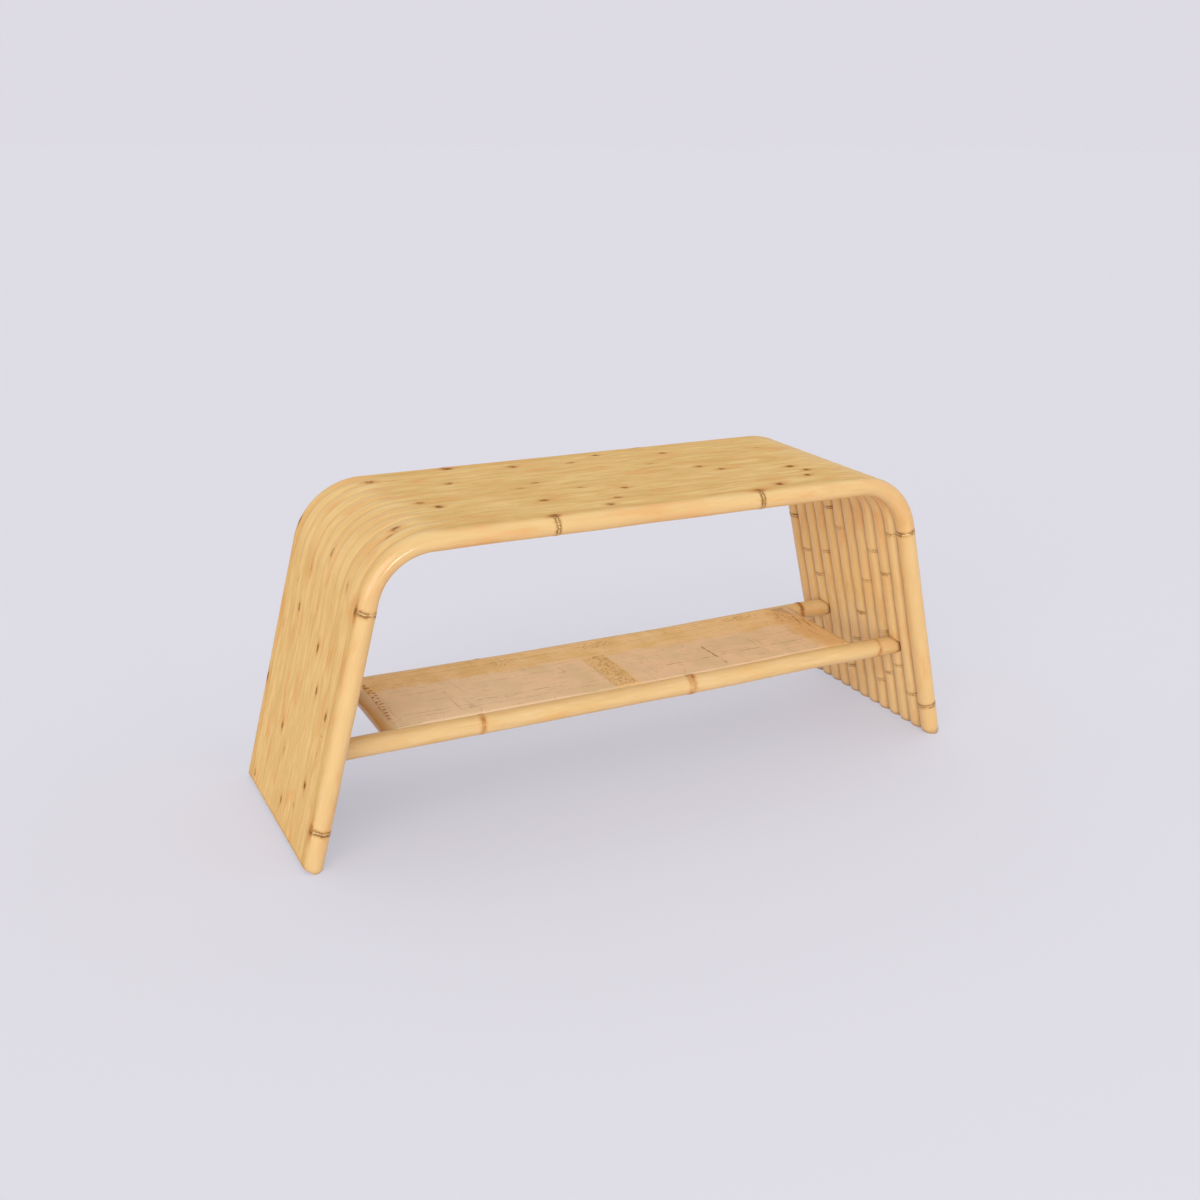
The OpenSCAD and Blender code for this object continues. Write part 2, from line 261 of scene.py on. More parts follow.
def rattan_material(name, light, dark, warm, crease_colour, seed, knot):
    """Varnished rattan. knot is how far a knot's dark core reaches along a sanded face.

    The mesh gives grain = (along, around, own), tone, node_d and node_m (the distance to the
    nearest growth ring and its strength), outer (1 where the face is sanded) and seam.
    """
    n = Surface(name)
    along, around, own = n.split(n.attribute("grain", "Vector"))
    own = n.plus(own, seed)
    outer = n.attribute("outer")
    tone = n.attribute("tone")
    seam = n.attribute("seam")

    def streaks(k_along, k_around, detail=3.0, rough=0.55):
        v = n.combine(n.times(along, k_along), n.times(around, k_around), own)
        return n.noise(v, 1, detail, rough)

    broad = streaks(15, 100)
    fine = streaks(24, 460, 4, 0.65)
    hair = streaks(60, 1900, 2, 0.6)
    blotch = streaks(13, 56, 4, 0.6)
    shade = n.span(n.line(broad, 0.60, n.times(fine, 0.50)), 0.32, 0.80)
    calm = n.line(outer, 0.5, 0.5)
    shade = n.line(n.math("SUBTRACT", shade, 0.55), calm, 0.55)
    shade = n.plus(shade, tone, clamp=True)
    colour = n.mix(shade, dark, light)
    colour = n.mix(n.span(blotch, 0.50, 0.70, 0.0, 0.75), colour, warm)
    colour = n.mix(n.span(blotch, 0.46, 0.28, 0.0, 0.5), colour, light)
    # the skin that isn't sanded is paler, with ruddy patches; the paler colour is partly painted fill
    # light on the shaded inner faces of the legs
    inner = n.math("SUBTRACT", 1.0, outer, clamp=True)
    colour = n.mix(n.times(inner, 0.50), colour, SKIN_AND_FILL_LIGHT)
    ruddy = n.span(streaks(9, 40, 4, 0.6), 0.50, 0.70, 0.0, 0.46)
    colour = n.mix(n.times(ruddy, inner), colour, RUDDY_SKIN)
    # fibre ends that sanding opened: short thin dashes
    dash = n.span(hair, 0.60, 0.74, 0.0, 0.30)
    colour = n.mix(n.times(dash, n.line(outer, 0.8, 0.2)), colour, OPEN_FIBRE)
    # the seams between poles are darkened: they are a little dusty and hold old varnish, and painted
    # shade lies in the grooves, strongest on the inner skin
    seam_dust_and_shade = n.times(seam, n.span(streaks(30, 60), 0.35, 0.65, 0.0, 0.55))
    seam_dust_and_shade = n.most(seam_dust_and_shade, n.times(n.times(seam, inner), 0.95))
    colour = n.mix(seam_dust_and_shade, colour, n.mix(inner, OUTER_SEAM_DUST_AND_SHADE, INNER_SEAM_DUST_AND_SHADE))

    # growth rings on the skin: a pale ridge between two broken dark lines, in a brown stain
    ring = n.attribute("node_m")
    wobble = n.math("SUBTRACT", streaks(90, 170, 2), 0.5)
    past = n.line(wobble, 0.0030, n.attribute("node_d"))
    far = n.math("ABSOLUTE", past)
    patch = streaks(120, 170, 3, 0.6)
    other = streaks(140, 230, 2, 0.6)
    whole = n.times(ring, inner, clamp=True)
    wide = n.span(ring, 1.0, 1.3)
    stain = n.times(n.near(far, 0.0010, 0.0065), n.span(patch, 0.36, 0.60, 0.15, 0.80))
    colour = n.mix(n.times(stain, whole), colour, RING_STAIN)
    broken = n.span(streaks(50, 90, 2), 0.42, 0.62, 0.05, 0.85)
    belt = n.times(n.near(far, 0.0020, 0.0038), broken)
    belt = n.most(belt, n.times(n.near(far, 0.0022, 0.0042, 0.80), wide))
    colour = n.mix(n.times(belt, whole), colour, RING_BELT)
    ridge = n.near(n.away(past, RIDGE_AT), 0.0002, 0.0014, 0.50)
    colour = n.mix(n.times(ridge, whole), colour, RING_RIDGE)
    upper = n.near(n.away(past, UPPER_AT), 0.0003, 0.0013)
    upper = n.times(upper, n.span(other, 0.38, 0.60, 0.05, 0.62))
    lower = n.near(n.away(past, LOWER_AT), 0.0003, 0.0014)
    lower = n.times(lower, n.span(patch, 0.36, 0.58, 0.15, 1.0))
    speck = n.span(streaks(260, 330, 2), 0.50, 0.62)
    speck = n.times(speck, n.near(far, 0.0018, 0.0036, 0.85))
    marks = n.times(n.most(n.most(upper, lower), speck), whole)

    # and on the sanded faces: a knot, dark in the middle, with a streak to both sides
    eye = n.times(ring, n.span(outer, 0.25, 0.75), clamp=True)
    streak = n.near(far, 0.0015, 2.5 * knot)
    streak = n.times(streak, n.span(patch, 0.32, 0.56, 0.40, 1.0))
    colour = n.mix(n.times(n.times(streak, eye), 0.80), colour, KNOT_STREAK)
    core = n.near(far, 0.0010, knot)
    core = n.times(core, n.span(other, 0.36, 0.58, 0.25, 1.0))
    marks = n.most(marks, n.times(n.span(eye, 0.20, 0.80), core))
    colour = n.mix(n.times(marks, 0.86), colour, n.mix(wide, crease_colour, WIDE_RING_LINE))

    n.surface("Base Color", colour)
    rough = n.line(outer, 0.20, n.line(fine, 0.16, 0.34))
    n.surface("Roughness", n.line(n.most(marks, seam), 0.35, rough, clamp=True))
    # the varnish shines on the skin alone
    n.surface("Coat Weight", n.line(n.most(seam, outer), -0.90, 0.90, clamp=True))
    n.surface("Coat Roughness", 0.12)
    n.surface("Specular IOR Level", 0.07)
    height = n.line(fine, 0.6, n.times(hair, 0.25))
    n.relief(n.line(marks, -1.1, height), 0.35, 0.0004)
    return n.mat


def end_grain_material(name):
    """The cut face of a pole: pale straw pith with dark pores."""
    n = Surface(name)
    spot = n.position()
    pore = n.near(n.cells(spot, 900), 0.12, 0.34)
    mottle = n.span(n.noise(spot, 160, 4, 0.6), 0.3, 0.7)
    colour = n.mix(mottle, rgb(196, 150, 96), rgb(222, 184, 130))
    colour = n.mix(n.times(pore, 0.7), colour, rgb(120, 78, 42))
    n.surface("Base Color", colour)
    n.surface("Roughness", 0.8)
    n.relief(pore, 0.4, 0.0003)
    return n.mat


# Where the borders' weave is loose: middle x and y, reach along x and y
LOOSE_PLACES = [(-0.155, 0.066, 0.026, 0.022), (0.010, 0.072, 0.045, 0.016),
                (0.285, 0.078, 0.045, 0.012), (0.350, 0.050, 0.022, 0.034)]
BAND_X = -0.0145
SPLINT_EDGE = rgb(172, 112, 66)
LOOSE_BUMP_HIGHLIGHT = rgb(250, 218, 152)
LOOSE_OPENING_SHADE = rgb(184, 132, 66)
CRACK = rgb(160, 98, 54)


def cane_material(name, dots, everywhere, cracks):
    """Flat cane splints: pinkish in the panels, golden in the borders.

    The mesh gives grain = (along, across, own) and tone. dots is how much the bumps of the loose weave
    show, with a painted highlight on each bump and painted shade in the openings between them, and
    everywhere says whether all of it is loose. cracks lists dark lines:
    along X or not, place across, from, to, depth of colour.
    """
    n = Surface(name)
    along, across, own = n.split(n.attribute("grain", "Vector"))
    fine = n.noise(n.combine(n.times(along, 30), n.times(across, 1500), own), 1, 3, 0.6)
    broad = n.noise(n.combine(n.times(along, 22), n.times(across, 60), own), 1)
    spot = n.position()
    x, y, _ = n.split(spot)
    patch = n.span(n.noise(spot, 24, 3, 0.55), 0.40, 0.66, 0.0, 0.7)
    shade = n.span(n.line(fine, 0.45, n.times(broad, 0.65)), 0.3, 0.85)
    shade = n.plus(shade, n.attribute("tone"), clamp=True)

    # the golden colour of border and band ends in an uneven line
    stray = n.line(n.noise(spot, 48, 5, 0.65), 0.050, -0.025)
    back = n.span(n.plus(n.line(x, 0.0275, y), stray), 0.0175, 0.0385)
    right = n.span(n.plus(x, stray), 0.322, 0.348)
    band = n.span(n.plus(n.away(x, BAND_X), n.times(stray, 0.3)), 0.0255, 0.0155)
    gold = n.most(n.most(back, right), band)
    panel = n.mix(shade, rgb(241, 208, 167), rgb(254, 225, 185))
    panel = n.mix(patch, panel, rgb(232, 206, 162))
    # the left panel is painted paler towards its left end: painted fill light that offsets the shade
    # of the left leg
    panel = n.mix(n.span(x, 0.02, -0.34, 0.0, 0.38), panel, rgb(255, 236, 200))
    border = n.mix(shade, rgb(245, 205, 146), rgb(254, 224, 168))
    border = n.mix(patch, border, rgb(238, 200, 130))
    border = n.mix(n.times(right, 0.7), border, rgb(236, 190, 130))
    colour = n.mix(gold, panel, border)

    # the edges of the splints show here and there as fine broken lines, like courses of brick
    bent = n.math("SUBTRACT", n.noise(spot, 17, 3, 0.6), 0.5)
    courses = ((y, 0.014, 0.0165, 0.40, 0.7), (x, 0.050, 0.0560, 0.26, 2.9))
    for side, bend, cell, depth, seed in courses:
        count = n.math("DIVIDE", n.line(bent, bend, side), cell)
        off = n.times(n.away(n.math("FRACT", count), 0.5), cell)
        edge = n.near(off, 0.0003, 0.0014, depth * (1 - dots))
        shown = n.noise(n.combine(n.plus(x, seed), y, seed), 36, 3, 0.6)
        colour = n.mix(n.times(edge, n.span(shown, 0.47, 0.62)), colour, SPLINT_EDGE)

    # where the weave is loose, small bumps are painted: a pale painted highlight on each bump, with
    # painted shade in the dark openings between them
    loose = n.cells(spot, 190, 0.85)
    where = n.span(n.noise(spot, 26, 3, 0.6), 0.36, 0.50, 0.35, 1.0) if everywhere else 0.0
    for mid_x, mid_y, reach_x, reach_y in LOOSE_PLACES:
        ax = n.math("DIVIDE", n.math("SUBTRACT", x, mid_x), reach_x)
        ay = n.math("DIVIDE", n.math("SUBTRACT", y, mid_y), reach_y)
        off = n.plus(n.times(ax, ax), n.times(ay, ay))
        where = n.most(where, n.near(off, 0.2, 1.0))
    uneven = n.span(n.noise(spot, 130, 2), 0.36, 0.56, 0.30, 1.0)
    bump = n.times(n.span(loose, 0.38, 0.16), where)
    opening_shade = n.times(n.times(n.span(loose, 0.40, 0.60), where), uneven)
    colour = n.mix(n.times(bump, 0.75 * dots), colour, LOOSE_BUMP_HIGHLIGHT)
    colour = n.mix(n.times(opening_shade, dots), colour, LOOSE_OPENING_SHADE)

    if cracks:
        waver = n.line(n.noise(spot, 36), 0.0060, -0.0030)
        dark = 0.0
        for along_x, place_across, start, stop, depth in cracks:
            run, side = (x, y) if along_x else (y, x)
            off = n.math("ABSOLUTE", n.plus(n.math("SUBTRACT", side, place_across), waver))
            crack = n.near(off, 0.0003, 0.0012, depth)
            crack = n.times(crack, n.span(run, start, start + 0.012))
            crack = n.times(crack, n.near(run, stop - 0.012, stop))
            dark = n.most(dark, crack)
        broken = n.span(n.noise(spot, 75), 0.40, 0.54, 0.20, 1.0)
        colour = n.mix(n.times(dark, broken), colour, CRACK)
    n.surface("Base Color", colour)
    n.surface("Roughness", n.line(fine, 0.2, 0.55))
    n.surface("Specular IOR Level", 0.1)
    n.relief(fine, 0.2, 0.0002)
    return n.mat


def wood_material(name, light, dark, grain_axis, roughness):
    """Plain sawn wood with growth lines along one axis of the frame."""
    n = Surface(name)
    scale = [130, 130, 130]
    scale[grain_axis] = 5
    drawn_out = n.named(n.add("Mapping"), Vector=n.position(), Scale=scale)[0]
    rings = n.noise(drawn_out, 1, 5, 0.6, 0.4)
    fine = n.noise(drawn_out, 6, 2, 0.6)
    shade = n.span(n.line(fine, 0.3, n.times(rings, 0.8)), 0.3, 0.8)
    n.surface("Base Color", n.mix(shade, dark, light))
    n.surface("Roughness", n.line(fine, 0.2, roughness))
    n.relief(shade, 0.25, 0.0003)
    return n.mat


def steel_material(name):
    """Zinc-plated screw steel with a little staining."""
    n = Surface(name)
    stain = n.noise(n.position(), 900, 3, 0.6)
    n.surface("Base Color", n.mix(stain, rgb(150, 146, 138), rgb(206, 204, 198)))
    n.surface("Metallic", 1.0)
    n.surface("Roughness", n.line(stain, 0.25, 0.25))
    return n.mat


# light, dark and warm colour, colour of the creases, number that sets the noise, knots' reach
pole_mat = rattan_material("rattan_pole", rgb(233, 199, 136), rgb(208, 167, 101),
                           rgb(220, 160, 95), rgb(108, 68, 26), 0.0, 0.0086)
rail_mat = rattan_material("rattan_rail", rgb(232, 204, 152), rgb(216, 179, 120),
                           rgb(226, 180, 114), rgb(164, 104, 46), 40.0, 0.0036)
end_mat = end_grain_material("rattan_end_grain")
# The long crack across the right panel is drawn twice, side by side, which widens it
PANEL_CRACKS = [
    (True, -0.049, 0.063, 0.330, 0.75), (True, -0.052, -0.250, -0.100, 0.55),
    (True, -0.061, -0.345, -0.240, 0.35), (False, 0.162, -0.087, 0.001, 1.0),
    (False, 0.1625, -0.087, 0.001, 1.0), (False, 0.045, -0.075, -0.010, 0.35),
    (False, 0.245, -0.080, 0.010, 0.35), (False, -0.275, -0.080, 0.015, 0.35),
    (True, -0.018, 0.020, 0.280, 0.25), (True, -0.070, -0.345, -0.060, 0.30),
    (True, 0.004, -0.330, -0.090, 0.22),
]
BORDER_CRACKS = [
    (True, 0.086, -0.370, 0.300, 0.40), (True, 0.070, -0.300, -0.050, 0.45),
    (True, 0.066, 0.060, 0.320, 0.40), (True, 0.050, -0.340, -0.200, 0.35),
    (True, 0.046, 0.110, 0.300, 0.35), (True, 0.040, -0.120, 0.040, 0.30),
    (False, 0.358, -0.060, 0.060, 0.45), (False, 0.372, -0.030, 0.050, 0.45),
]
panel_mat = cane_material("cane_panel", 0.2, False, PANEL_CRACKS)
band_mat = cane_material("cane_band", 0.52, True, [])
border_mat = cane_material("cane_border", 0.45, False, BORDER_CRACKS)
hem_mat = cane_material("cane_hem", 0.1, False, [])
board_mat = wood_material("board_ply", rgb(222, 182, 130), rgb(196, 154, 102), 0, 0.6)
batten_mat = wood_material("batten_wood", rgb(206, 168, 120), rgb(172, 130, 84), 1, 0.6)
dowel_mat = wood_material("dowel_wood", rgb(214, 180, 134), rgb(186, 146, 98), 1, 0.6)
thread_mat = wood_material("stitch_thread", rgb(188, 138, 80), rgb(146, 100, 54), 1, 0.7)
steel_mat = steel_material("screw_steel")


# -------- mesh helpers
def add_object(name, data):
    obj = bpy.data.objects.new(name, data)
    bpy.context.scene.collection.objects.link(obj)
    return obj


# The values that a vertex has where a piece gives none
PLAIN = {"tone": 0.0, "node_d": 1.0, "node_m": 0.0, "outer": 0.0, "seam": 0.0}


class Build:
    """Collects tubes of vertices with their values, and makes one object of them."""

    def __init__(self):
        self.co, self.faces, self.slots = [], [], []
        self.values = {key: [] for key in ("grain", *PLAIN)}
        self.count = 0

    def tube(self, co, grain, slot=0, cap_slot=0, **values):
        """co is rows x columns x 3, closed round the columns, with a fan at both ends."""
        rows, cols = co.shape[:2]
        for chunks, grid in ((self.co, co), (self.values["grain"], grain)):
            chunks.append(np.vstack([grid.reshape(-1, 3), grid[0].mean(0), grid[-1].mean(0)]))
        for key, plain in PLAIN.items():
            full = np.broadcast_to(values.get(key, plain), (rows, cols))
            self.values[key].append(np.append(full.reshape(-1), [full[0, 0], full[-1, 0]]))
        row, col = np.meshgrid(np.arange(rows - 1), np.arange(cols), indexing="ij")
        here, beside = row * cols + col, row * cols + (col + 1) % cols
        quads = np.stack([here, beside, beside + cols, here + cols], -1)
        self.faces += (quads.reshape(-1, 4) + self.count).tolist()
        self.slots += [slot] * (quads.size // 4)
        first_tip = self.count + rows * cols
        last = first_tip - cols
        for k in range(cols):
            after = (k + 1) % cols
            self.faces.append((self.count + after, self.count + k, first_tip))
            self.faces.append((last + k, last + after, first_tip + 1))
        self.slots += [cap_slot] * (2 * cols)
        self.count += rows * cols + 2

    def make(self, name, mats, smooth=True, flip=False):
        mesh = bpy.data.meshes.new(name)
        faces = [tuple(reversed(face)) for face in self.faces] if flip else self.faces
        mesh.from_pydata(np.vstack(self.co).tolist(), [], faces)
        for mat in mats:
            mesh.materials.append(mat)
        mesh.polygons.foreach_set("material_index", self.slots)
        mesh.polygons.foreach_set("use_smooth", [smooth] * len(self.faces))
        for key, chunks in self.values.items():
            flat = np.concatenate([np.asarray(chunk, np.float32).reshape(-1) for chunk in chunks])
            kind, field = ("FLOAT_VECTOR", "vector") if key == "grain" else ("FLOAT", "value")
            mesh.attributes.new(key, kind, "POINT").data.foreach_set(field, flat)
        mesh.update()
        return add_object(name, mesh)


def place(obj, slot, *nodes):
    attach(obj, "root")
    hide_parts(*nodes)


def full_circle(count):
    return np.linspace(0, FULL_TURN, count, endpoint=False)


def grain_along(s, theta, radius, own):
    """What lays the grain on a pole: metres along it, metres around it, its own number."""
    grain = np.empty((len(s), len(theta), 3))
    grain[..., 0] = s[:, None]
    # the angle wraps round on the hidden side, so the noise has no seam that shows
    grain[..., 1] = np.where(theta > np.pi, theta - FULL_TURN, theta)[None, :] * radius
    grain[..., 2] = own
    return grain


# How far the close rows beside a growth ring lie from its middle
RING_ROWS = np.array([0.3, 0.6, 0.95, 1.35, 1.8, 2.3, 2.9, 3.6, 4.4, 5.5, 7, 9]) / 1000
RING_ROWS = np.concatenate([-RING_ROWS[::-1], [0], RING_ROWS])
RING_CLEAR = 0.0105
BEND_STEP = 0.0033
LEAST_STEP = 1.5e-4


def rows_for(total, rings, step, bends=()):
    """Where to put the rows of a tube: even, closer in the bends, and close beside each ring."""
    parts = [np.arange(0, total, step)]
    for lo, hi in bends:
        parts.append(np.arange(lo, hi, BEND_STEP))
    s = np.concatenate(parts)
    for ring in rings:
        at = ring[0]
        s = np.concatenate([s[np.abs(s - at) > RING_CLEAR], at + RING_ROWS])
    s = np.unique(np.round(np.clip(s, 0, total), 6))
    s = s[np.concatenate([[True], np.diff(s) > LEAST_STEP])]
    s[0], s[-1] = 0.0, total
    return s


# -------- growth rings
# How far off a pole's middle the eye of a ring lies that shows at one edge
EYE_OFF = 0.0065
# How much stronger the rings of the two outer poles are
FREE_RINGS = 1.25


def ring_profile(d):
    """How much a ring swells a pole at a distance d from its middle: a ridge with a crease in it."""
    ridge = 0.00055 * np.exp(-(d / 0.0034) ** 2)
    crease = 0.00062 * np.exp(-(d / 0.00062) ** 2)
    return ridge - crease + 0.00022 * np.exp(-((d - 0.0031) / 0.0007) ** 2)


def ring_values(s, theta, rings, outer_fade, free=0):
    """Distance to the nearest ring, its strength, and the swelling it makes, by row and column.

    Each ring is (s, strength, side). Sanding leaves only a small eye of it on the outer faces,
    and a share outer_fade of its swelling. free is -1 or 1 where one side of the pole is seen.
    """
    shape = (len(s), len(theta))
    dist = np.full(shape, 1.0)
    mark = np.zeros(shape)
    swell = np.zeros(shape)
    outward = np.cos(theta)
    for k, (at, strength, side) in enumerate(rings):
        r = np.random.default_rng(int(at * 1e5) + k)
        lean = r.uniform(-0.0012, 0.0012)
        turn = r.uniform(0, FULL_TURN)
        line = at + lean * np.cos(theta - turn) + 0.0004 * np.sin(2 * theta + turn)
        d = s[:, None] - line[None, :]
        near = np.abs(d) < np.abs(dist)
        dist = np.where(near, d, dist)
        whole = 0.72 + 0.20 * np.cos(2 * theta + turn) + 0.12 * np.cos(5 * theta + 2 * turn)
        if outer_fade < 1:
            eye_width = 0.0018 + 0.0022 * strength
            off = POLE_R * np.sin(theta) - EYE_OFF * side
            eye = 0.03 + 1.1 * np.exp(-(off / eye_width) ** 2)
            if free:
                eye = np.maximum(eye, 0.95 * np.clip(free * np.sin(theta) * 1.5 + 0.45, 0, 1))
            whole = np.where(outward > 0.1, eye, whole)
        if free:
            whole = FREE_RINGS * whole
        mark = np.where(near, strength * whole[None, :], mark)
        fade = 1 - (1 - outer_fade) * np.clip(outward * 1.6 - 0.2, 0, 1)
        swell += ring_profile(d) * strength * fade[None, :]
    # half-way between two rings the distance changes sign: nothing is marked there
    mark = mark * np.clip((0.030 - np.abs(dist)) / 0.005, 0, 1)
    return dist, mark, swell


# -------- seat poles
# The growth rings of each pole: left leg, millimetres up from the floor; seat, x in
# millimetres; right leg, millimetres up from the floor. Each is (place, strength), with a
# -1 or 1 behind them where the ring shows most at one edge of the pole.
RINGS = {
    1: ([(57, 1.0), (363, 1.0)], [(-167, 1.0), (157, 1.2)], [(55, 1.0), (367, 1.0)]),
    2: ([(150, 0.35, 1), (207, 0.9), (455, 0.9, 1)], [(-72, 0.8, -1), (205, 1.0, -1)],
        [(67, 0.9), (358, 0.7)]),
    3: ([(97, 1.0), (380, 0.5, -1), (470, 0.8, -1)], [(-47, 0.7, -1), (275, 0.9, -1)],
        [(110, 0.5), (280, 0.9)]),
    4: ([(55, 0.5), (223, 0.9)], [(-147, 0.8, -1), (-12, 1.0, 1), (292, 0.9, -1)],
        [(85, 0.9), (165, 0.6), (313, 0.8)]),
    5: ([(275, 1.0)], [(-292, 1.0, -1), (-70, 0.7, 1), (280, 1.0, -1)], [(60, 0.5), (250, 0.5)]),
    6: ([(38, 0.7), (400, 0.7)], [(-307, 0.8, -1), (-152, 0.6, 1), (175, 0.7, -1)], [(182, 1.0)]),
    7: ([(102, 0.5), (298, 0.4)], [(-120, 0.7), (152, 0.8, -1)], [(120, 0.6), (330, 0.6)]),
    8: ([(127, 1.0), (360, 0.5, 1)], [(-200, 0.4, 1), (90, 0.5, 1)], [(57, 0.8), (360, 1.0)]),
    9: ([(298, 0.9)], [(-237, 0.8, -1), (60, 0.4, 1), (300, 0.5, 1)], [(90, 0.5), (270, 0.5)]),
    10: ([(80, 0.4), (330, 0.5)], [(-20, 0.8, 1), (142, 1.3, 1)], [(219, 0.9)]),
    11: ([(17, 0.8), (255, 0.5)], [(-337, 0.9, -1), (-112, 0.9, -1), (37, 0.9, 1)],
         [(100, 0.5), (258, 0.9)]),
    12: ([(161, 0.8), (400, 0.7)], [(-207, 0.9, -1), (120, 0.5)], [(60, 0.8), (315, 0.9)]),
}
POLE_STEP = 0.0065
BENDS = [(LEG - 0.006, LEG + ARC + 0.006), (TOTAL - LEG - ARC - 0.006, TOTAL - LEG + 0.006)]
# The crown stays a little inside its CAD box, and the sides run a little into the neighbours
SPARE = 0.00004
OVERLAP = 0.00005
# How much wider than high a pole is, so that its sides do reach that far
WIDER = 1.012
# What a growth ring swells a pole at most
SWELL = 0.0004
# How far up a leg the slanting cut of its foot is evened out
FOOT_REACH = 0.02


def rings_along(i):
    """The rings of pole i as (s, strength, side), in order from the left foot."""
    out = []
    for rings, start, way in zip(RINGS[i], (0, TOTAL / 2, TOTAL), (1, 1, -1)):
        for at, strength, *side in rings:
            out.append((start + way * (at / 1000), strength, side[0] if side else 0))
    return sorted(out)


def path(s):
    """Point, tangent and outward normal, in X and Z, of a pole s metres from its left foot."""
    t = np.abs(s - TOTAL / 2)
    sign = np.where(s >= TOTAL / 2, 1.0, -1.0)
    a = np.clip((t - SEAT_HALF) / BEND_R, 0, ARC / BEND_R)
    leg = np.maximum(t - SEAT_HALF - ARC, 0)
    x = np.minimum(t, SEAT_HALF) + BEND_R * np.sin(a) + leg * np.cos(a)
    z = SEAT_Z - BEND_R * (1 - np.cos(a)) - leg * np.sin(a)
    point = np.stack([sign * x, z], -1)
    tangent = np.stack([np.cos(a), -sign * np.sin(a)], -1)
    normal = np.stack([sign * np.sin(a), np.cos(a)], -1)
    return point, tangent, normal


def section(theta, free, crown_r):
    """A pole's outline: distance from its centre at each angle, and how near that is to a seam.

    theta is 0 on the outer side and turns towards +Y.
    """
    c, s = np.cos(theta), np.sin(theta)
    off = POLE_R - crown_r
    crown = off * c + np.sqrt(np.maximum(crown_r ** 2 - (off * s) ** 2, 0))
    side = HALF_PITCH / np.maximum(np.abs(s), 1e-6)
    at_free = (np.sign(s) == free) if free else np.zeros_like(s, bool)
    edge = np.where(at_free, POLE_R, side)
    body = np.where(c > 0, np.where(at_free, np.minimum(crown, POLE_R + 0.0004), crown), POLE_R)
    gap = np.abs(body - edge)
    seam = np.where(at_free, 0.0, np.exp(-gap / 0.0011))
    # the edges between crown, sides and round are softened
    soft = 4.0e-4
    return np.minimum(body, edge) - soft * np.exp(-gap / soft * 1.2) * 0.5, seam


def pole_angles():
    """The columns of a pole: even, and closer at the corners between crown, side and round."""
    angles = full_circle(48)
    corners = [math.atan2(HALF_PITCH, POLE_R - r + math.sqrt(r ** 2 - HALF_PITCH ** 2))
               for r in (CROWN_FLAT, CROWN_BEND)]
    corners.append(math.pi - math.asin(HALF_PITCH / POLE_R))
    for corner in corners:
        for sign in (1, -1):
            close = [(sign * (corner + off)) % FULL_TURN for off in (-0.05, 0.0, 0.05)]
            angles = np.append(angles, close)
    return np.unique(np.round(angles, 4))


def groove(i, s):
    """Sideways shift of the line between pole i and pole i + 1, which both of them follow."""
    return 0.00085 * wave(s, 900 + i, 0.04, 0.20, 7)


